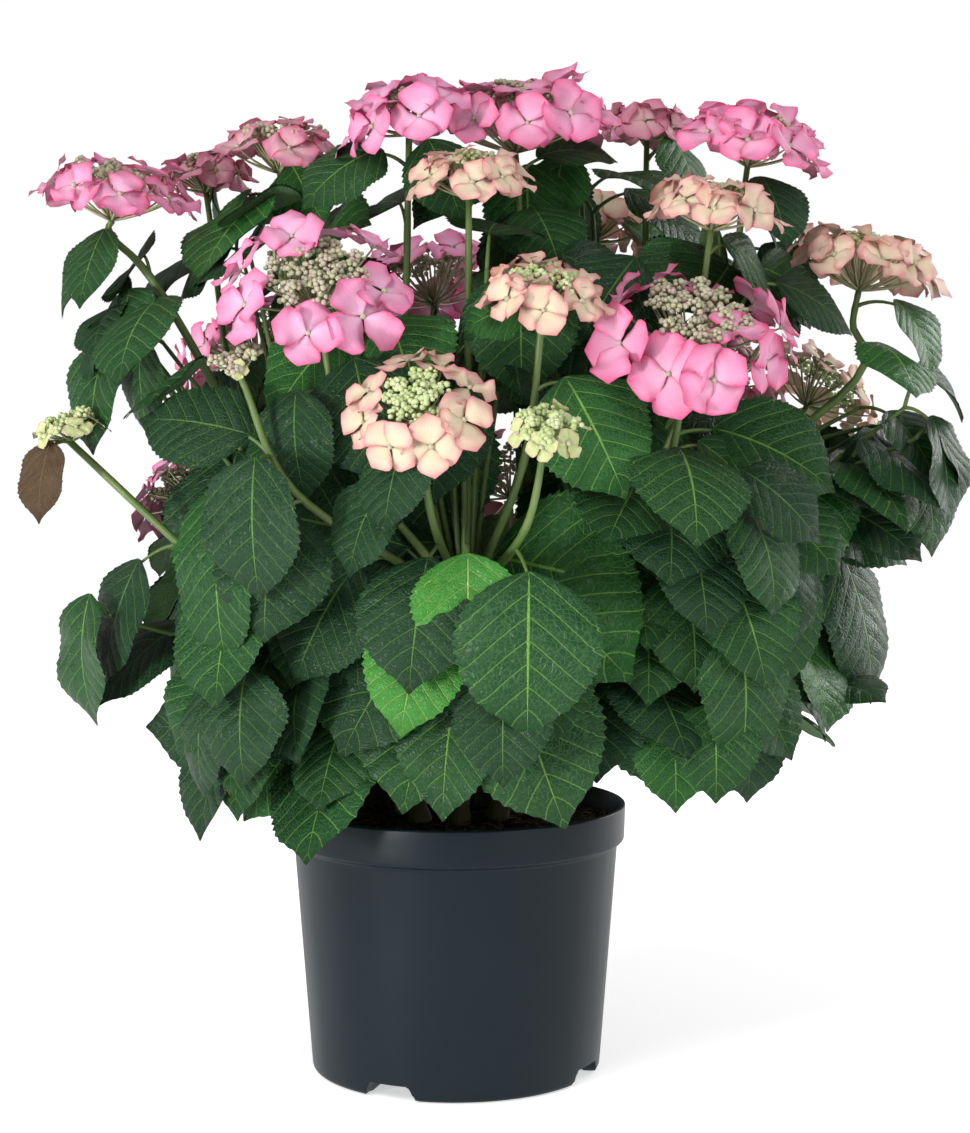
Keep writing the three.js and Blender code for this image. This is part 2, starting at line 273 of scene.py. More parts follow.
def grainSkin(name, colour, second, scale, roughness, relief, stretch=(1, 1, 1), specular=0.4):
    # one colour broken by another in a noise that may be stretched, with the same noise as relief
    skin, tree, shader = nodeTree(name)
    place = addNode(tree, "TexCoord").outputs["Object"]
    laid = addNode(tree, "Mapping", {}, Vector=place, Scale=stretch).outputs[0]
    noise = addNode(tree, "TexNoise", {}, Vector=laid, Scale=scale, Detail=5.0, Roughness=0.6).outputs["Fac"]
    mixed = blendColours(tree, spread(tree, noise, 0.35, 0.68), colour, second)
    tree.links.new(mixed, shader.inputs["Base Color"])
    bump(tree, shader, noise, relief)
    setShader(shader, roughness=roughness, specular=specular)
    return skin


leafSkins = {
    "deep": leafSkin("leafDeepGreen", (0.006, 0.033, 0.013), (0.1, 0.22, 0.05), (0.01, 0.045, 0.018), 0.42),
    "dark": leafSkin("leafDarkGreen", (0.008, 0.05, 0.015), (0.15, 0.32, 0.06), (0.013, 0.065, 0.019), 0.4),
    "mid": leafSkin("leafMidGreen", (0.012, 0.082, 0.018), (0.2, 0.42, 0.08), (0.019, 0.105, 0.023), 0.38),
    "young": leafSkin("leafYoungGreen", (0.03, 0.19, 0.022), (0.3, 0.5, 0.12), (0.07, 0.28, 0.05), 0.38),
    "withered": leafSkin("leafWithered", (0.1, 0.06, 0.03), (0.2, 0.13, 0.07), (0.05, 0.035, 0.02), 0.7),
}
underSkin = leafSkin("leafUnderside", (0.09, 0.17, 0.07), (0.22, 0.33, 0.15), (0.11, 0.2, 0.09), 0.6,
                     underside=True)
sepalSkins = {
    "pink": sepalSkin("sepalPink", (0.77, 0.3, 0.48), (0.64, 0.03, 0.16), (0.78, 0.48, 0.62)),
    "rose": sepalSkin("sepalRose", (0.77, 0.34, 0.53), (0.66, 0.05, 0.2), (0.78, 0.5, 0.66)),
    "dusty": sepalSkin("sepalDustyPink", (0.68, 0.32, 0.41), (0.54, 0.06, 0.16), (0.68, 0.5, 0.44)),
    "cream": sepalSkin("sepalCream", (0.7, 0.54, 0.41), (0.6, 0.13, 0.18), (0.62, 0.62, 0.38)),
    "lime": sepalSkin("sepalLime", (0.55, 0.62, 0.3), (0.55, 0.2, 0.2), (0.46, 0.58, 0.2), rim=0.5),
}
budSkins = {
    "cream": grainSkin("budCream", (0.5, 0.4, 0.34), (0.4, 0.43, 0.24), 90, 0.55, 0.0003),
    "pink": grainSkin("budPinkGrey", (0.52, 0.36, 0.33), (0.5, 0.44, 0.26), 90, 0.55, 0.0003),
    "lime": grainSkin("budLime", (0.42, 0.52, 0.2), (0.62, 0.66, 0.4), 90, 0.55, 0.0003),
}
stalkSkin = grainSkin("stalkGreen", (0.075, 0.15, 0.03), (0.15, 0.21, 0.065), 45, 0.45, 0.0004, (1, 1, 0.25))
raySkin = grainSkin("rayPaleGreen", (0.26, 0.32, 0.13), (0.4, 0.32, 0.22), 60, 0.5, 0.0002)
barkSkin = grainSkin("caneBark", (0.05, 0.07, 0.025), (0.11, 0.085, 0.05), 70, 0.75, 0.0008, (1, 1, 0.2), 0.2)
print("materials ready")


# the camera stands in front of the pot and looks a little down on it

camera = {
    "place": (0.024, -1.9, 0.5435),
    "down": 3.9,
    "lens": 73.6,
}


def placeCamera():
    data = bpy.data.cameras.new("frontCamera")
    data.lens = camera["lens"]
    data.sensor_width = 36
    seen = bpy.data.objects.new("frontCamera", data)
    seen.location = camera["place"]
    seen.rotation_euler = (math.radians(90 - camera["down"]), 0, 0)
    scene.collection.objects.link(seen)
    scene.camera = seen


placeCamera()
eye = np.array(camera["place"])


def seenAt(points):
    # where a point is seen from the front, against the upright plane through the pot's middle
    share = -eye[1] / (points[..., 1] - eye[1])
    return eye + (points - eye) * share[..., None]


# the frame's own shapes: masses as ellipsoids, flower heads as discs, canes as lines

massNames = [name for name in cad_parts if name.startswith("foliage_")]
headNames = [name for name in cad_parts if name.startswith("head_")]
caneNames = [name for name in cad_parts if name.startswith("cane_")]
boughNames = [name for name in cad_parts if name.startswith("bough_")]
massBoxes = np.array([[list(corner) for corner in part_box(name)] for name in massNames])
massMiddles = massBoxes.mean(axis=1)
massHalves = (massBoxes[:, 1] - massBoxes[:, 0]) / 2


def massReach(points):
    # how far out in the nearest mass a point lies: 0 in its middle, 1 at its surface
    apart = (points[..., None, :] - massMiddles) / massHalves
    return np.linalg.norm(apart, axis=-1).min(axis=-1)


def readHead(name):
    # a flower head is round about its own axis, so that axis is the way its corners spread least
    points = nodePoints(name)
    middle = points.mean(axis=0)
    _, ways = np.linalg.eigh(np.cov((points - middle).T))
    axis = ways[:, 0] * np.sign(ways[2, 0])
    along = (points - middle) @ axis
    out = np.linalg.norm(points - middle - along[:, None] * axis, axis=1)
    radius = out.max()
    rim = along[out > 0.96 * radius].mean()
    return {"name": name[5:], "at": middle + axis * rim, "axis": axis, "radius": radius}


def readLimb(name):
    # a limb's rings are level, so each level's corners give one stop of its middle line
    points = nodePoints(name)
    levels = points[:, 2].round(4)
    rings = [level for level in np.unique(levels) if (levels == level).sum() >= 5]
    stops = [points[levels == level].mean(axis=0) for level in rings]
    top = points[levels > levels.max() - 0.004].mean(axis=0)
    if top[2] > stops[-1][2] + 0.006:
        stops.append(top)
    return np.array(stops)


heads = [readHead(name) for name in headNames]
canes = {name[5:]: readLimb(name) for name in caneNames}
boughs = {name[6:]: readLimb(name) for name in boughNames}
headMiddles = np.array([head["at"] for head in heads])
headAxes = np.array([head["axis"] for head in heads])
headRadii = np.array([head["radius"] for head in heads])


# shoots: one from a cane's top to each flower head, and leafy ones that fill the masses

shoot = {
    "steps": 26,
    "headed": (0.0042, 0.0024),  # radius at the foot and the tip of one that bears a flower head
    "leafy": (0.0034, 0.0016),
    "perMass": 6,
    "extraHigh": 16,  # more in each mass that stands above highFrom, where the crown is full of leaves
    "highFrom": 0.49,
    "nodeGap": 0.062,  # between one pair of leaves and the next
    "headNodeGap": 0.046,  # the same on a shoot that bears a flower head
    "fork": 0.38,  # a head's rays part this share of its radius below its rim
}
sprays = {
    "shares": {"deep": 0.34, "dark": 0.42, "mid": 0.24},
    "young": ("foliage_mid_front", "foliage_low_hanging_left", "foliage_branch_leaves_high"),
    "withered": "foliage_branch_leaves_high",  # the one leaf nearest its middle
}
crownMiddle = np.array([0.03, 0.02, 0.42])
lightWay = np.array([-0.25, -0.7, 0.45])  # leaves on the near half turn their faces this way
boughOf = {"left_tip": "left_high", "left_green": "left_low", "right_tip": "right_high"}
draw = np.random.default_rng(11)


def nearestCane(point):
    # by distance to the canes' tops, where height counts a fifth
    tops = {name: line[-1] for name, line in canes.items()}
    return min(tops, key=lambda name: np.linalg.norm((tops[name] - point) * (1, 1, 0.2)))


def headShoot(head):
    # from a cane's last stretch to the fork of the head's rays, by way of a bough or of one point between
    foot = head["at"] - head["axis"] * head["radius"] * shoot["fork"]
    line = canes[nearestCane(head["at"])]
    stops = [line[-2], line[-1]]
    if head["name"] in boughOf:
        stops += [boughs[boughOf[head["name"]]][0], boughs[boughOf[head["name"]]][-1]]
    else:
        stops.append(foot * (0.75, 0.75, 0.5) + line[-1] * (0.25, 0.25, 0.5))
    return curveThrough(stops + [foot], shoot["steps"])


def leafyShoot(goal):
    # from a little below a cane's top to its goal, by way of a point near the half way
    line = canes[nearestCane(goal)]
    start = line[-1] - (line[-1] - line[-2]) * draw.uniform(0.03, 0.5)
    middle = start * 0.5 + goal * 0.5 + up * draw.uniform(-0.02, 0.03)
    return curveThrough([start, middle, goal], shoot["steps"])


def sprayTone(mass="", outermost=False):
    # a mass's outermost shoot may bear young leaves, and the rest share three greens
    if outermost and mass in sprays["young"]:
        return "young"
    return draw.choice(list(sprays["shares"]), p=list(sprays["shares"].values()))


headShoots = [headShoot(head) for head in heads]
headTones = [sprayTone() for head in heads]
leafyShoots, leafyTones = [], []
for name, middle, half in zip(massNames, massMiddles, massHalves):
    outward = unit((middle - crownMiddle) * (1, 1, 0.3))
    high = middle[2] > shoot["highFrom"]
    count = shoot["perMass"] + shoot["extraHigh"] * int(high)
    ways = unit(draw.normal(size=(count, 3)) + outward * 1.1 + up * (0.8 if high else 0.2))
    ways[0] = outward
    for k, way in enumerate(ways):
        leafyShoots.append(leafyShoot(middle + half * way * draw.uniform(0.5, 0.9)))
        leafyTones.append(sprayTone(name, k == 0))
print("shoots:", len(headShoots), "to flower heads,", len(leafyShoots), "leafy")


# leaves

leafShape = {
    "teeth": 18,
    "toothDepth": 0.06,  # of the blade's half width
    "across": (0.0, 0.36, 0.78, 1.0),
    "quilt": 0.0011,
    "long": (0.098, 0.148),
    "slim": (0.78, 0.95),
    "petiole": (0.02, 0.04),
    "droops": (50, 70, 30, 85, 12, 62, 40),  # degrees below level, tried in turn until nothing is in the way
    "apart": 0.3,  # least gap between the middles of two leaves, as a share of a leaf's length
    "reach": 1.12,  # how far out in its mass a leaf may lie, where 1 is the surface
    "tipReach": 0.93,  # a tip's own reach counts this much, so tips may stand a little further out
    "headReach": 0.3,  # more reach for the first three pairs below a flower head
    "lowest": 0.2,
    "overPot": (0.155, 0.24),  # radius and height of the space over the pot that tips stay out of
    "stalk": (0.0019, 0.0012),  # a leaf stalk's radius at the shoot and at the blade
    "gap": 0.0006,  # between a blade's two faces
}


def leafOutline(u):
    # half width along the blade: sin(pi u^inner)^outer, narrowed towards the tip
    inner, outer = leafVeins["swell"]
    return np.sin(np.pi * u**inner) ** outer * (1 - 0.5 * ease((u - 0.78) / 0.22))


def bladePoints(blades, outline, along, across, saw=0.0, quilt=0.0, inset=0.0):
    # Each blade's middle line is an arc of its chord, turned by bend from end to end.
    # Across it the surface rises by its fold, falls by droop v^2, and waves along its margin. Quilt is how
    # far it swells between the side veins.
    def spreadOut(key):
        return blades[key][:, None, None]

    u, v = along[None, :, None], across[None, None, :]
    ahead = unit(blades["tip"] - blades["base"])
    chord = np.linalg.norm(blades["tip"] - blades["base"], axis=1)[:, None, None]
    normal = unit(blades["facing"] - (blades["facing"] * ahead).sum(-1, keepdims=True) * ahead)
    side = np.cross(normal, ahead)
    bend = spreadOut("bend")
    turn = bend * (0.5 - u)
    reach = chord / (2 * np.sin(bend / 2))
    x = reach * (np.sin(bend / 2) - np.sin(turn))
    z = reach * (np.cos(turn) - np.cos(bend / 2))
    half = 0.5 * spreadOut("wide") * outline(along)[None, :, None]
    half = half * (1 + np.reshape(saw, (1, -1, 1)) * (np.abs(v) > 0.99)) - inset * (np.abs(v) > 0.99)
    wave = spreadOut("wave") * np.sin(11 * u + spreadOut("phase") + 1.7 * np.sign(v))
    y = half * v * np.cos(spreadOut("fold"))
    lift = half * (np.abs(v) * (np.sin(spreadOut("fold")) + wave) - spreadOut("droop") * v**2) - inset
    inner, outer = leafVeins["swell"]
    forward = leafVeins["sweep"] * np.abs(v) ** leafVeins["curve"] * np.sin(np.pi * u**inner) ** outer
    phase = (u - forward) * leafVeins["pairs"]
    swollen = np.abs(np.sin(np.pi * phase)) ** 0.7 * np.minimum(1, 6 * np.abs(v))
    lift = lift + quilt * swollen * half / half.max()
    local = -np.sin(turn)[..., None] * ahead[:, None, None] + np.cos(turn)[..., None] * normal[:, None, None]
    flat = x[..., None] * ahead[:, None, None] + z[..., None] * normal[:, None, None]
    return blades["base"][:, None, None] + flat + y[..., None] * side[:, None, None] + lift[..., None] * local


def sheetPiece(name, blades, outline, along, across, skin, slot, turned=False, **shape):
    # all the blades joined, each laid over the whole UV square; turned ones face the other way
    points = bladePoints(blades, outline, along, across, **shape)
    rows, cols = len(along), len(across)
    faces = gridFaces(rows, cols)
    faces = faces if turned else faces[:, ::-1]
    u, v = np.meshgrid(along, across * 0.5 + 0.5, indexing="ij")
    uv = np.tile(np.stack([u, v], -1).reshape(-1, 2), (len(points), 1))
    return makePiece(name, points, repeatFaces(faces, len(points), rows * cols), skin, slot, uv=uv)


def pick(blades, chosen):
    return {key: value[chosen] for key, value in blades.items()}


def joinBlades(*groups):
    return {key: np.concatenate([group[key] for group in groups]) for key in groups[0]}


def bladeHabits(count, bend=(0.35, 0.95), fold=(0.05, 0.3), droop=(0.1, 0.3), wave=(0.02, 0.09)):
    return {
        "bend": draw.uniform(*bend, count),
        "fold": draw.uniform(*fold, count),
        "droop": draw.uniform(*droop, count),
        "wave": draw.uniform(*wave, count),
        "phase": draw.uniform(0, 6.3, count),
    }


headRoom = {  # what leaves keep clear of, in shares of a head's radius
    "below": 0.15,  # under its rim
    "above": 0.6,
    "height": 0.22,  # half height of a level head as the front sees it
    "tilted": 0.75,  # added to that, times the sine of its tilt
    "outline": 0.92,
    "before": 0.3,  # how far nearer than its middle a leaf has to be to cover it
}


def hidesHead(points):
    # whether a point is inside a flower head, or seen over one from the front
    off = points[:, None] - headMiddles
    high = (off * headAxes).sum(-1)
    out = np.linalg.norm(off - high[..., None] * headAxes, axis=-1)
    rise = high / headRadii
    inside = (out < headRadii) & (rise > -headRoom["below"]) & (rise < headRoom["above"])
    flat = headRoom["height"] + headRoom["tilted"] * np.sqrt(1 - headAxes[:, 2] ** 2)
    apart = (seenAt(points)[:, None] - seenAt(headMiddles))[..., [0, 2]]
    seen = np.hypot(apart[..., 0], apart[..., 1] / flat) < headRoom["outline"] * headRadii
    before = points[:, None, 1] < headMiddles[:, 1] - headRoom["before"] * headRadii
    return (inside | (seen & before)).any(axis=1)


def pierced(blades):
    # whether a flower head's stalk runs through a blade: two neighbouring steps of the stalk lie on opposite
    # sides of the blade's arc
    ahead = unit(blades["tip"] - blades["base"])
    normal = unit(blades["facing"] - (blades["facing"] * ahead).sum(-1, keepdims=True) * ahead)
    long = np.linalg.norm(blades["tip"] - blades["base"], axis=1)[:, None, None]
    off = np.array(headShoots)[None] - blades["base"][:, None, None]
    along = (off * ahead[:, None, None]).sum(-1) / long
    side = np.cross(normal, ahead)
    across = np.abs((off * side[:, None, None]).sum(-1)) * 2 / blades["wide"][:, None, None]
    arc = long * blades["bend"][:, None, None] / 2 * along * (1 - along)
    high = (off * normal[:, None, None]).sum(-1) - arc
    over = (along > 0.02) & (along < 0.98) & (across < 0.95)
    crossing = (high[..., :-1] * high[..., 1:] <= 0) & (over[..., :-1] | over[..., 1:])
    return crossing.any(axis=(1, 2))


def shootLeaves(lines, tones, headed):
    # Opposite pairs along each shoot, each pair square to the one below. A stalk leaves sideways and
    # outwards, and the blade goes on from it and droops.
    spots, tangents, turns, rank, owner, share = [], [], [], [], [], []
    for number, line in enumerate(lines):
        lengths = np.concatenate([[0], np.cumsum(np.linalg.norm(np.diff(line, axis=0), axis=1))])
        first = draw.uniform(0.012, 0.03)
        between = shoot["headNodeGap"] if headed else shoot["nodeGap"]
        wanted = np.arange(lengths[-1] - first, 0.015, -between * draw.uniform(0.8, 1.2))
        slopes = unit(np.gradient(line, axis=0))
        spot = np.stack([np.interp(wanted, lengths, line[:, i]) for i in range(3)], 1)
        ahead = np.stack([np.interp(wanted, lengths, slopes[:, i]) for i in range(3)], 1)
        spin = draw.uniform(0, np.pi) + np.arange(len(wanted)) * np.pi / 2 + draw.normal(0, 0.2, len(wanted))
        for flip in (0, np.pi):
            spots.append(spot)
            tangents.append(unit(ahead))
            turns.append(spin + flip)
            rank.append(np.arange(len(wanted)))
            owner.append(np.full(len(wanted), -1 if headed else number))
            share.append(np.interp(wanted, lengths, np.linspace(0, 1, len(line))))
    sprayOf = np.repeat(np.arange(len(lines)), [2 * len(part) for part in rank[::2]])
    spots, tangents, turns, rank, owner, share = map(
        np.concatenate, (spots, tangents, turns, rank, owner, share))
    count = len(spots)
    side = unit(np.cross(tangents, [0.3, 0.1, 1.0]))
    other = np.cross(tangents, side)
    sideways = side * np.cos(turns)[:, None] + other * np.sin(turns)[:, None]
    outward = unit((spots - crownMiddle) * (1, 1, 0.5))
    stalkWay = unit(sideways * 0.8 + outward * 0.75 + up * 0.15)
    grown = np.minimum(1, (0.62 if headed else 0.74) + 0.16 * rank)  # the pairs near the tip are smaller
    long = draw.uniform(*leafShape["long"], count) * grown
    base = spots + stalkWay * (draw.uniform(*leafShape["petiole"], count) * (0.6 + 0.4 * grown))[:, None]
    level = unit(stalkWay * (1, 1, 0.15))
    tone = np.array(tones)[sprayOf]
    tone = np.where((tone == "young") & (rank > 1), "mid", tone)
    blades = {
        "base": base,
        "tip": np.zeros((count, 3)),
        "facing": np.zeros((count, 3)),
        "spot": spots,
        "tone": tone,
        "owner": owner,
        "share": share,
        "wide": long * draw.uniform(*leafShape["slim"], count),
        **bladeHabits(count),
    }
    lit = np.clip((0.12 - spots[:, 1:2]) / 0.1, 0, 1)  # 1 before the crown's middle, fading to 0 behind it
    furthest = leafShape["reach"] + leafShape["headReach"] * (headed & (rank < 3))
    potRadius, potTop = leafShape["overPot"]
    chosen = np.zeros(count, bool)
    for droop in leafShape["droops"]:
        angle = np.radians(droop + draw.normal(0, 9, count))[:, None]
        end = base + (level * np.cos(angle) - up * np.sin(angle)) * long[:, None]
        middle = (base + end) / 2
        fits = np.maximum(massReach(end) * leafShape["tipReach"], massReach(middle)) < furthest
        clear = ~(hidesHead(end) | hidesHead(middle) | hidesHead(base))
        overPot = (np.hypot(end[:, 0], end[:, 1]) < potRadius) & (end[:, 2] < potTop)
        turned = draw.normal(0, 0.25, (count, 3))
        facing = up * 0.45 + outward + lightWay * lit + level * np.sin(angle) * 0.4 + turned
        whole = ~pierced({**blades, "tip": end, "facing": facing})
        take = fits & clear & ~overPot & (end[:, 2] > leafShape["lowest"]) & whole & ~chosen
        blades["tip"][take] = end[take]
        blades["facing"][take] = facing[take]
        chosen |= take
    return pick(blades, chosen)


def keepApart(blades):
    # Young leaves first, then from the outside of the crown inwards:
    # a leaf is dropped if its middle is too near to that of a leaf kept before.
    middles = (blades["base"] + blades["tip"]) / 2
    long = np.linalg.norm(blades["tip"] - blades["base"], axis=1)
    kept = np.zeros(len(long), bool)
    young = blades["tone"] == "young"
    for i in np.argsort(-np.linalg.norm(middles - crownMiddle, axis=1) - young):
        gaps = np.linalg.norm(middles[kept] - middles[i], axis=1)
        kept[i] = (gaps > leafShape["apart"] * long[i]).all()
    return pick(blades, kept)


def witherOne(blades):
    # the leaf whose middle is nearest to that of the mass named for it
    place = massMiddles[massNames.index(sprays["withered"])]
    middles = (blades["base"] + blades["tip"]) / 2
    nearest = np.linalg.norm(middles - place, axis=1).argmin()
    blades["tone"] = blades["tone"].astype("U8")
    blades["tone"][nearest] = "withered"


crown = joinBlades(shootLeaves(headShoots, headTones, True), shootLeaves(leafyShoots, leafyTones, False))
crown = keepApart(crown)
witherOne(crown)
print("leaves:", len(crown["wide"]))


def growLeaves():
    # rows stand at each tooth's notch and crest, and saw widens the margin at the crests
    teeth = leafShape["teeth"]
    along = np.sort(np.concatenate([np.arange(teeth + 1) / teeth, (np.arange(teeth) + 0.7) / teeth]))
    along = 0.004 + 0.994 * along
    crest = np.arange(len(along)) % 2
    saw = crest * leafShape["toothDepth"] * ease(along / 0.12) * (1 + 0.5 * ease((along - 0.6) / 0.3))
    half = np.array(leafShape["across"])
    across = np.concatenate([-half[:0:-1], half])
    sets = {tone: pick(crown, crown["tone"] == tone) for tone in leafSkins if (crown["tone"] == tone).any()}
    for tone, blades in sets.items():
        sheetPiece("leaves_" + tone, blades, leafOutline, along, across, leafSkins[tone], "leaf",
                   saw=saw, quilt=leafShape["quilt"])
    sheetPiece("leaf_undersides", crown, leafOutline, along[::2], across, underSkin, "leaf",
               turned=True, inset=leafShape["gap"])


def growStalks():
    # petioles rise a little on their way from the shoot to the blade
    starts, ends = crown["spot"], crown["base"]
    inside = ends + unit(crown["tip"] - ends) * 0.006
    middles = (starts + ends) / 2 + up * 0.15 * np.linalg.norm(ends - starts, axis=1)[:, None]
    paths = arches(starts, middles, inside, 7)
    radii = np.linspace(*leafShape["stalk"], 7)[None] * np.ones((len(paths), 1))
    tubePiece("leaf_stalks", [(paths, radii)], 6, stalkSkin, "cane")


def trimmed(line, share):
    # a shoot up to that share of its steps
    t = np.linspace(0, share, shoot["steps"]) * (len(line) - 1)
    i = np.minimum(t.astype(int), len(line) - 2)
    return line[i] + (line[i + 1] - line[i]) * (t - i)[:, None]


def prunedShoots():
    # a leafy shoot ends at its last pair of leaves, and one without leaves is left out
    ends = [crown["share"][crown["owner"] == number].max(initial=0) for number in range(len(leafyShoots))]
    return [trimmed(line, end) for line, end in zip(leafyShoots, ends) if end > 0]


def growShoots():
    # shoots thin evenly towards the tip and swell by an eighth at short joints along them
    def swollen(lines, foot, tip):
        t = np.linspace(0, 1, shoot["steps"])[None]
        return (foot + (tip - foot) * t) * (1 + 0.12 * np.cos(t * 25 + np.arange(len(lines))[:, None]) ** 8)

    headed, leafy = np.array(headShoots), np.array(prunedShoots())
    groups = [(headed, swollen(headed, *shoot["headed"])), (leafy, swollen(leafy, *shoot["leafy"]))]
    tubePiece("shoots", groups, 8, stalkSkin, "cane", replaced=massNames + boughNames)


caneShape = {
    "steps": 40,
    "foot": 0.0072,
    "taper": 0.0028,  # how much thinner the top is
    "flare": 0.0026,  # how much wider the flare at the soil is
    "joints": 4.3,
    "jointSwell": 0.22,
}


def growCanes():
    # radius: foot - taper t + flare (1-t)^8, swollen in a narrow bell at each joint, with a slight ripple
    t = np.linspace(0, 1, caneShape["steps"])
    offJoint = (t * caneShape["joints"]) % 1 - 0.5
    rings = 1 + caneShape["jointSwell"] * np.exp(-(offJoint / 0.07) ** 2) + 0.04 * np.sin(57 * t)
    radius = (caneShape["flare"] * (1 - t) ** 8 + caneShape["foot"] - caneShape["taper"] * t) * rings
    paths = np.array([curveThrough(line, caneShape["steps"]) for line in canes.values()])
    radii = np.tile(radius, (len(paths), 1))
    tubePiece("canes", [(paths, radii)], 14, barkSkin, "cane", replaced=caneNames)


growLeaves()
growStalks()
growShoots()
growCanes()
print("leaves, shoots and canes done")


# flower heads: a dome of small buds on branching rays, with large sterile florets round it

bloom = {
    "sepalRows": 9,
    "sepalColumns": 9,
    "budRadius": 0.0023,
    "budsEach": (9, 15),  # least and one past the most buds in a cluster
    "goldenAngle": 2.39996,
    "outerRing": (1.0, -0.06),  # a ring's radius and its height over the rim, as shares of the head's radius
    "innerRing": (0.42, 0.2),
    "ray": (0.0013, 0.0007),  # radius at the fork and at the end
    "twig": 0.0004,
}
# tone of sepals, tone of buds, florets in the outer ring, in the inner ring, floret radius in mm, the bud
# dome's share of the head's radius, and how many clusters of buds it holds
headHabits = {
    "left_tip": ("pink", "cream", 8, 2, 25, 0.5, 16),
    "left_back": ("dusty", "cream", 7, 3, 20, 0.45, 12),
    "left_mid": ("dusty", "cream", 7, 3, 22, 0.55, 16),
    "left_front": ("rose", "cream", 8, 1, 28, 0.5, 30),
    "top_mid": ("pink", "cream", 12, 5, 27, 0.5, 22),
    "right_top": ("pink", "pink", 9, 3, 27, 0.4, 14),
    "right_back": ("dusty", "cream", 7, 3, 20, 0.4, 10),
    "right_front": ("pink", "cream", 9, 1, 30, 0.46, 30),
    "top_left": ("rose", "cream", 8, 2, 24, 0.45, 14),
    "cream_mid": ("cream", "lime", 8, 3, 20, 0.45, 12),
    "cream_right": ("cream", "lime", 8, 3, 21, 0.45, 12),
    "right_tip": ("cream", "lime", 11, 4, 23, 0.5, 22),
    "cream_front": ("cream", "lime", 8, 3, 19, 0.45, 12),
    "centre_low": ("cream", "lime", 8, 0, 21, 0.42, 18),
    "green_low": ("lime", "lime", 6, 0, 12, 0.7, 18),
    "brown_bud": ("lime", "cream", 2, 0, 8, 0.85, 10),
    "left_green": ("lime", "lime", 5, 0, 12, 0.7, 14),
    "back_left": ("pink", "cream", 8, 2, 27, 0.52, 24),
    "back_mid": ("rose", "cream", 9, 2, 27, 0.5, 24),
    "back_right": ("dusty", "pink", 8, 2, 26, 0.52, 24),
    "back_low": ("pink", "cream", 8, 0, 26, 0.55, 26),
    "left_side": ("rose", "cream", 8, 0, 22, 0.5, 18),
    "back_high": ("cream", "lime", 8, 2, 22, 0.5, 16),
    "back_side": ("cream", "lime", 8, 0, 22, 0.55, 18),
}


def sepalOutline(u):
    # half width along a sepal: sin(pi u^1.2)^0.75, widest a little beyond its middle and narrowed to a blunt
    # point
    return np.sin(np.pi * np.clip(u, 0.004, 0.996) ** 1.2) ** 0.75 * (1 - 0.3 * ease((u - 0.7) / 0.3))


def acrossOf(axis):
    # two ways square to an axis and to each other
    first = unit(np.cross(axis, [0.2, 1.0, 0.1]))
    return first, np.cross(axis, first)


def floretRing(head, count, share, radius, drop):
    # florets round the head: at + share R (cos a, sin a), each tipped outwards
    first, second = acrossOf(head["axis"])
    turn = 2 * np.pi * (np.arange(count) + draw.uniform(-0.18, 0.18, count) + draw.uniform()) / max(count, 1)
    out = first * np.cos(turn)[:, None] + second * np.sin(turn)[:, None]
    reach = head["radius"] * share - radius * 0.72 * (share > 0.7)
    at = head["at"] + out * (reach * draw.uniform(0.93, 1.04, count))[:, None]
    at = at + head["axis"] * (head["radius"] * (drop + draw.uniform(-0.07, 0.07, count)))[:, None]
    level = head["axis"][2] ** 2
    tipped = (0.25 + draw.uniform(0.3, 2.0, count) * level)[:, None] * (share > 0.7)
    facing = unit(head["axis"] + out * tipped + draw.normal(0, 0.14, (count, 3)))
    return at, facing, radius * draw.uniform(0.88, 1.1, count)


def sepalBlades(at, facing, radius):
    # four sepals to a floret, the second pair laid over the first
    count = len(at)
    first = unit(np.cross(facing, draw.normal(size=(count, 3))))
    second = np.cross(facing, first)
    parts = []
    lower = draw.uniform(-0.05, 0.16, count)
    upper = lower + draw.uniform(0.07, 0.2, count)
    for k in range(4):
        turn = k * np.pi / 2 + draw.normal(0, 0.09, count)
        way = first * np.cos(turn)[:, None] + second * np.sin(turn)[:, None]
        raised = (upper if k % 2 else lower)[:, None]
        long = radius * draw.uniform(0.9, 1.08, count)
        base = at + facing * (0.0011 * (k % 2)) + way * 0.001
        tip = base + (way * np.cos(raised) + facing * np.sin(raised)) * long[:, None]
        fold = (0.02, 0.4) if k % 2 else (-0.15, 0.05)
        habits = bladeHabits(count, bend=(-0.4, 1.0), fold=fold, droop=(0.0, 0.25), wave=(0.08, 0.24))
        habits["bend"] = np.where(np.abs(habits["bend"]) < 0.05, 0.05, habits["bend"])
        parts.append({"base": base, "tip": tip, "facing": facing * 1.0,
                      "wide": long * draw.uniform(1.08, 1.3, count), **habits})
    return joinBlades(*parts)


def budShape():
    # twelve corners of an icosahedron and its twenty faces
    g = (1 + 5**0.5) / 2
    corners = [(-1, g, 0), (1, g, 0), (-1, -g, 0), (1, -g, 0), (0, -1, g), (0, 1, g),
               (0, -1, -g), (0, 1, -g), (g, 0, -1), (g, 0, 1), (-g, 0, -1), (-g, 0, 1)]
    faces = [(0, 11, 5), (0, 5, 1), (0, 1, 7), (0, 7, 10), (0, 10, 11), (1, 5, 9), (5, 11, 4), (11, 10, 2),
             (10, 7, 6), (7, 1, 8), (3, 9, 4), (3, 4, 2), (3, 2, 6), (3, 6, 8), (3, 8, 9), (4, 9, 5),
             (2, 4, 11), (6, 2, 10), (8, 6, 7), (9, 8, 1)]
    return unit(np.array(corners, float)), np.array(faces)


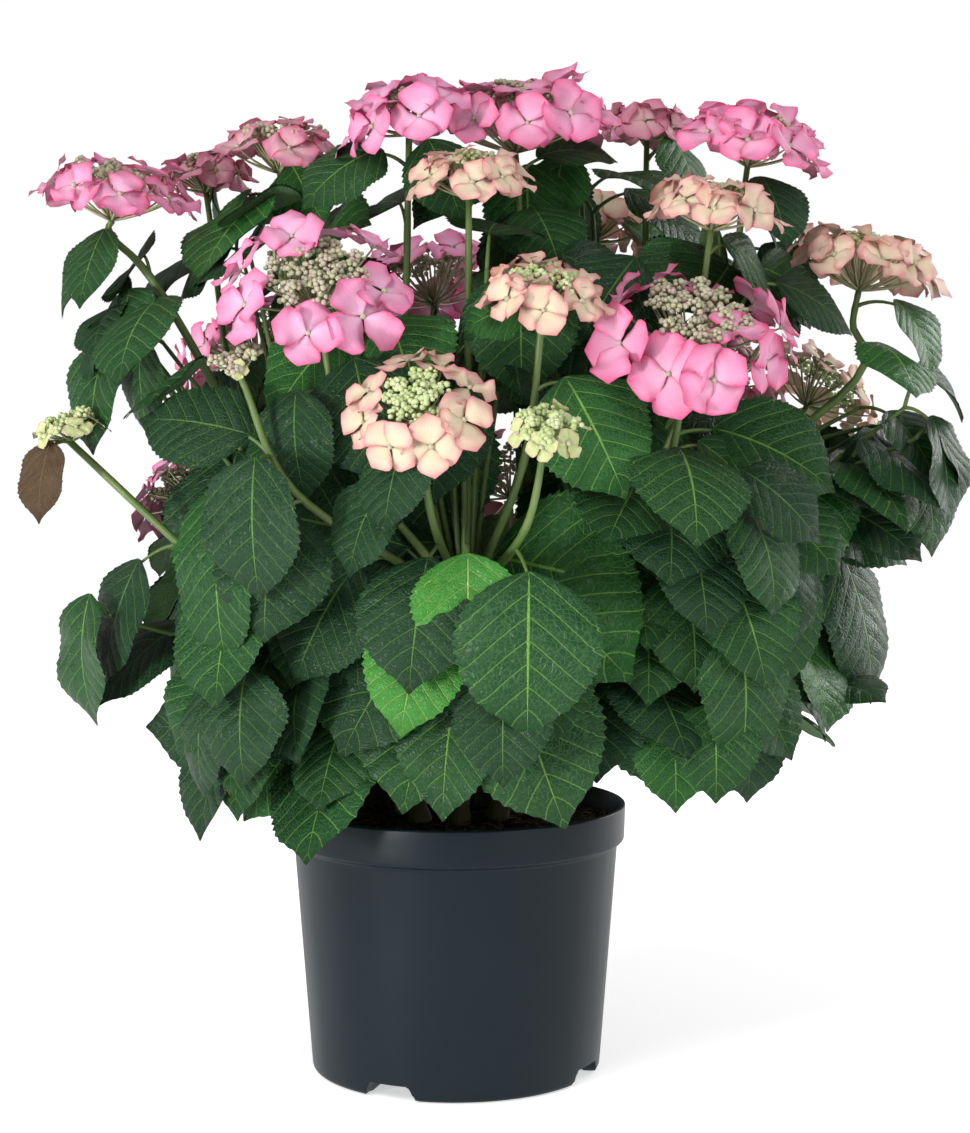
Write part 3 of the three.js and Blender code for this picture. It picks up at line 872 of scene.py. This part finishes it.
def budDome(head, share, clusters):
    # Clusters lie on a sunflower spiral over a low dome, and each one's buds on a smaller dome of their own.
    first, second = acrossOf(head["axis"])
    k = np.arange(clusters) + 0.5
    out = head["radius"] * share * np.sqrt(k / clusters)
    turn = k * bloom["goldenAngle"] + draw.normal(0, 0.15, clusters)
    rise = head["radius"] * (0.16 - 0.2 * (out / head["radius"]) ** 2) + draw.normal(0, 0.0025, clusters)
    level = first * np.cos(turn)[:, None] + second * np.sin(turn)[:, None]
    middles = head["at"] + level * out[:, None] + head["axis"] * rise[:, None]
    wide = head["radius"] * share / np.sqrt(clusters) * 0.95
    each = draw.integers(*bloom["budsEach"], clusters)
    owner = np.repeat(np.arange(clusters), each)
    j = np.concatenate([np.arange(n) + 0.5 for n in each])
    spreadOut = wide * np.sqrt(j / each[owner])
    swing = j * bloom["goldenAngle"] + owner
    offset = first * np.cos(swing)[:, None] + second * np.sin(swing)[:, None]
    dome = wide * (0.75 - 0.9 * (spreadOut / wide) ** 2)
    buds = middles[owner] + offset * spreadOut[:, None] + head["axis"] * dome[:, None]
    buds = buds + draw.normal(0, 0.0006, buds.shape)
    return middles, buds, owner


def growBlossom():
    # each head's florets, its dome of buds, rays from the fork to both, and twigs from a ray to its buds
    florets = {tone: [] for tone in sepalSkins}
    budSets = {tone: [] for tone in budSkins}
    rays, twigs, hearts = [], [], []
    for head in heads:
        tone, budTone, outer, inner, size, share, clusters = headHabits[head["name"]]
        rings = [floretRing(head, count, ring[0], size / 1000, ring[1])
                 for count, ring in ((outer, bloom["outerRing"]), (inner, bloom["innerRing"]))]
        at, facing, radius = (np.concatenate([ring[i] for ring in rings]) for i in range(3))
        florets[tone].append((at, facing, radius))
        hearts.append(at + facing * 0.0015)
        middles, buds, owner = budDome(head, share, clusters)
        budSets[budTone].append(buds)
        fork = head["at"] - head["axis"] * head["radius"] * shoot["fork"]
        under = np.concatenate([middles - head["axis"] * 0.002, at - facing * 0.0005])
        bowed = (fork + under) / 2 - head["axis"] * np.linalg.norm(under - fork, axis=1)[:, None] * 0.1
        rays.append(arches(np.repeat(fork[None], len(under), 0), bowed, under, 6))
        twigs.append(np.stack([middles[owner] - head["axis"] * 0.002, buds], 1))
    along = np.linspace(0.0, 1.0, bloom["sepalRows"])
    across = np.sin(np.linspace(-1, 1, bloom["sepalColumns"]) * np.pi / 2)
    for tone, sets in florets.items():
        at, facing, radius = (np.concatenate([one[i] for one in sets]) for i in range(3))
        sheetPiece("sepals_" + tone, sepalBlades(at, facing, radius), sepalOutline, along, across,
                   sepalSkins[tone], "flower_cream" if tone in ("cream", "lime") else "flower_pink")
    ball, triangles = budShape()
    for tone, sets in budSets.items():
        at = np.concatenate(sets + ([np.concatenate(hearts)] if tone == "cream" else []))
        size = bloom["budRadius"] * draw.uniform(0.75, 1.2, len(at))
        points = at[:, None] + ball[None] * size[:, None, None]
        makePiece("buds_" + tone, points, repeatFaces(triangles, len(at), len(ball)), budSkins[tone], "bud")
    rays, twigs = np.concatenate(rays), np.concatenate(twigs)
    thick = np.linspace(*bloom["ray"], 6)[None] * np.ones((len(rays), 1))
    thin = np.full(twigs.shape[:2], bloom["twig"])
    tubePiece("flower_rays", [(rays, thick), (twigs, thin)], 4, raySkin, "bud", replaced=headNames)


growBlossom()
print("flower heads done")


# pot and soil

pot = {
    "rim": 0.14,
    "bandFoot": 0.19,
    "height": 0.22,
    "bodyTop": 0.1335,
    "foot": 0.1195,
    "wall": 0.003,
    "rounding": 0.004,
    "around": 288,
}
channel = {"count": 4, "high": 0.012, "wideHalf": 0.023, "narrowHalf": 0.017, "innerEnd": 0.038, "turn": -26}


def rounded(corners, radius, steps=5):
    # an outline of [radius, height] pairs with each inner corner drawn as a short curve
    corners = np.array(corners, float)
    before, here, after = corners[:-2], corners[1:-1], corners[2:]
    reach = np.minimum(radius, 0.45 * np.linalg.norm(here - before, axis=1))
    reach = np.minimum(reach, 0.45 * np.linalg.norm(after - here, axis=1))[:, None]
    start, end = here + unit(before - here) * reach, here + unit(after - here) * reach
    bends = arches(start, here, end, steps).reshape(-1, 2)
    return np.concatenate([corners[:1], bends, corners[-1:]])


def turnedPoints(outline, around):
    # an outline carried round the upright axis: (r cos a, r sin a, z)
    turn = 2 * np.pi * np.arange(around) / around
    circle = np.stack([np.cos(turn), np.sin(turn)], 1)
    flat = outline[:, None, :1] * circle
    return np.concatenate([flat, np.broadcast_to(outline[:, None, 1:], flat.shape[:2] + (1,))], -1)


def raisedFloor(x, y):
    # the channels' ceiling: full height in the middle of each, sloping to nothing at its sides and inner end
    high = np.zeros_like(x)
    for i in range(channel["count"]):
        turn = math.radians(channel["turn"] - 90 + i * 360 / channel["count"])
        out = x * math.cos(turn) + y * math.sin(turn)
        off = np.abs(y * math.cos(turn) - x * math.sin(turn))
        slope = (channel["wideHalf"] - off) / (channel["wideHalf"] - channel["narrowHalf"])
        high = np.maximum(high, channel["high"] * np.clip(slope, 0, 1) * (out > channel["innerEnd"]))
    return high


def makePot():
    # outside from the middle of the foot up over the rim band, and down its inside to below the soil
    wall = pot["wall"]
    outline = rounded([
        (0.0005, 0), (pot["foot"] - 0.012, 0), (pot["foot"] - 0.0005, 0.0002), (pot["foot"] + 0.0006, 0.014),
        (pot["bodyTop"], pot["bandFoot"] - 0.002), (pot["rim"] - 0.001, pot["bandFoot"]),
        (pot["rim"], pot["height"] - 0.001), (pot["rim"] - wall, pot["height"]),
        (pot["bodyTop"] - wall, pot["bandFoot"] + 0.012), (pot["bodyTop"] - wall - 0.002, 0.15),
    ], pot["rounding"], 6)
    between = np.linspace(0, 1, 4)[:-1, None]
    spans = [a + (b - a) * between for a, b in zip(outline[:-1], outline[1:])]
    fine = np.concatenate(spans + [outline[-1:]])
    points = turnedPoints(fine, pot["around"])
    low = points[..., 2] < 0.03
    floor = raisedFloor(points[..., 0], points[..., 1])
    points[..., 2] = np.where(low, np.maximum(points[..., 2], floor), points[..., 2])
    faces = gridFaces(len(fine), pot["around"], around=True)
    makePiece("pot_shell", points, faces, potSkin(), "pot", replaced=["pot"])


def potSkin():
    # dark moulded plastic: a very fine grain, faint upright flow marks and a little dust in patches
    skin, tree, shader = nodeTree("potPlastic")
    place = addNode(tree, "TexCoord").outputs["Object"]
    grain = addNode(tree, "TexNoise", {}, Vector=place, Scale=900.0, Detail=2.0).outputs["Fac"]
    tall = addNode(tree, "Mapping", {}, Vector=place, Scale=(1, 1, 0.06)).outputs[0]
    flow = addNode(tree, "TexNoise", {}, Vector=tall, Scale=38.0, Detail=4.0).outputs["Fac"]
    dust = addNode(tree, "TexNoise", {}, Vector=place, Scale=14.0, Detail=6.0, Roughness=0.7).outputs["Fac"]
    dusted = spread(tree, dust, 0.4, 0.75, 0, 0.35)
    base = blendColours(tree, dusted, (0.005, 0.011, 0.015), (0.008, 0.015, 0.02))
    tree.links.new(base, shader.inputs["Base Color"])
    tree.links.new(spread(tree, flow, 0.3, 0.7, 0.34, 0.42), shader.inputs["Roughness"])
    mixed = calc(tree, "ADD", calc(tree, "MULTIPLY", grain, 0.12), flow)
    bump(tree, shader, mixed, 0.00003, 0.5)
    setShader(shader, specular=0.18)
    return skin


soil = {
    "level": 0.2035,
    "crumbs": 900,
    "crumbRadii": (0.0012, 0.0042),
    "fibres": 160,
    "fibreLengths": (0.008, 0.016),
    "fibreRadius": 0.0005,
}


def makeSoil():
    # a rough disc: lumps in two sizes as sines of place, with a random roughness, level beside the wall
    rings, around = 60, 150
    r = np.linspace(0.0005, pot["bodyTop"] - pot["wall"] - 0.001, rings)
    outline = np.stack([r, np.full(rings, soil["level"])], 1)
    points = turnedPoints(outline, around)
    x, y = points[..., 0], points[..., 1]
    lumps = 0.0016 * np.sin(310 * x + 3 * np.sin(190 * y)) * np.sin(290 * y + 2 * np.sin(230 * x))
    lumps += 0.0011 * np.sin(760 * x + 900 * y) * np.sin(820 * y - 640 * x)
    inner = np.clip((0.128 - np.hypot(x, y)) / 0.02, 0, 1)
    points[..., 2] += lumps * inner + draw.normal(0, 0.0007, x.shape) * inner + 0.0025 * inner
    soilSkin = grainSkin("pottingSoil", (0.012, 0.008, 0.006), (0.05, 0.03, 0.018), 260, 0.95, 0.0015,
                         specular=0.15)
    faces = gridFaces(rings, around, around=True)[:, ::-1]
    makePiece("soil_surface", points, faces, soilSkin, "soil", replaced=["soil"])
    ball, triangles = budShape()
    count = soil["crumbs"]
    turn = draw.uniform(0, 6.283, count)
    out = 0.124 * np.sqrt(draw.uniform(0, 1, count))
    high = draw.uniform(soil["level"] + 0.001, soil["level"] + 0.005, count)
    at = np.stack([out * np.cos(turn), out * np.sin(turn), high], 1)
    size = draw.uniform(*soil["crumbRadii"], (count, 1, 1)) * draw.uniform(0.5, 1.3, (count, 1, 3))
    crumbs = at[:, None] + ball[None] * (1 + draw.normal(0, 0.16, (count, len(ball), 1))) * size
    makePiece("soil_crumbs", crumbs, repeatFaces(triangles, count, len(ball)), soilSkin, "soil")
    fibres = soil["fibres"]
    start = at[:fibres] + (0, 0, 0.001)
    way = unit(draw.normal(size=(fibres, 3)) * (1, 1, 0.15))
    end = start + way * draw.uniform(*soil["fibreLengths"], (fibres, 1))
    paths = arches(start, start + way * 0.006 + up * 0.002, end, 5)
    radii = np.full(paths.shape[:2], soil["fibreRadius"])
    fibreSkin = grainSkin("soilFibre", (0.1, 0.055, 0.03), (0.05, 0.03, 0.02), 120, 0.9, 0.0004)
    tubePiece("soil_fibres", [(paths, radii)], 4, fibreSkin, "soil")


makePot()
makeSoil()
print("pot and soil done")


# floor and light

light = {
    "ambient": 0.22,
    "backdrop": 1.0,
    "floorGlow": 0.54,  # brings the lit floor up to the backdrop, so that no horizon shows
    "floorReach": 14.0,
    "goal": (0, 0, 0.35),  # the area lamps point here
    "sun": {"from": (-0.55, -0.75, 0.95), "power": 1.5, "softness": 30},
    "fill": {"place": (2.2, -2.0, 1.3), "size": (1.6, 1.8), "power": 26},
    "rim": {"place": (1.9, 1.5, 1.2), "size": (0.7, 1.8), "power": 30},
    "strip": {"place": (-1.67, -1.86, 0.3), "size": (0.25, 0.56), "power": 38},
}


def aimed(lamp, place, goal):
    # turns a lamp, which shines down its own -Z, towards a point
    aim = np.array(goal) - np.array(place)
    lamp.location = place
    lamp.rotation_euler = (math.atan2(math.hypot(aim[0], aim[1]), -aim[2]), 0, math.atan2(-aim[0], aim[1]))
    scene.collection.objects.link(lamp)


def makeStage():
    # a wide pale floor half a millimetre under the pot, an even backdrop, a soft sun and three area lamps
    reach = light["floorReach"]
    corners = [(x * reach, y * reach, -0.0005) for x, y in ((-1, -1), (1, -1), (1, 1), (-1, 1))]
    mesh = bpy.data.meshes.new("floor")
    mesh.from_pydata(corners, [], [(0, 1, 2, 3)])
    floorSkin, tree, shader = nodeTree("paleFloor")
    shader.inputs["Base Color"].default_value = (0.88, 0.88, 0.88, 1)
    shader.inputs["Emission Color"].default_value = (1, 1, 1, 1)
    shader.inputs["Emission Strength"].default_value = light["floorGlow"]
    setShader(shader, roughness=0.8, specular=0.1)
    mesh.materials.append(floorSkin)
    floor = bpy.data.objects.new("floor", mesh)
    scene.collection.objects.link(floor)
    world = bpy.data.worlds.new("studio")
    world.use_nodes = True
    tree = world.node_tree
    background = tree.nodes["Background"]
    background.inputs["Color"].default_value = (1, 1, 1, 1)
    plain = addNode(tree, "LightPath").outputs["Is Camera Ray"]
    shown = calc(tree, "MULTIPLY_ADD", plain, light["backdrop"] - light["ambient"], light["ambient"])
    tree.links.new(shown, background.inputs["Strength"])
    scene.world = world
    sun = bpy.data.lights.new("sun", "SUN")
    sun.energy = light["sun"]["power"]
    sun.angle = math.radians(light["sun"]["softness"])
    aimed(bpy.data.objects.new("sun", sun), light["sun"]["from"], (0, 0, 0))
    for name in ("fill", "rim", "strip"):
        say = light[name]
        data = bpy.data.lights.new(name, "AREA")
        data.shape = "RECTANGLE"
        data.size, data.size_y = say["size"]
        data.energy = say["power"]
        aimed(bpy.data.objects.new(name, data), say["place"], light["goal"])
    scene.view_settings.view_transform = "Standard"


makeStage()
print("stage done")
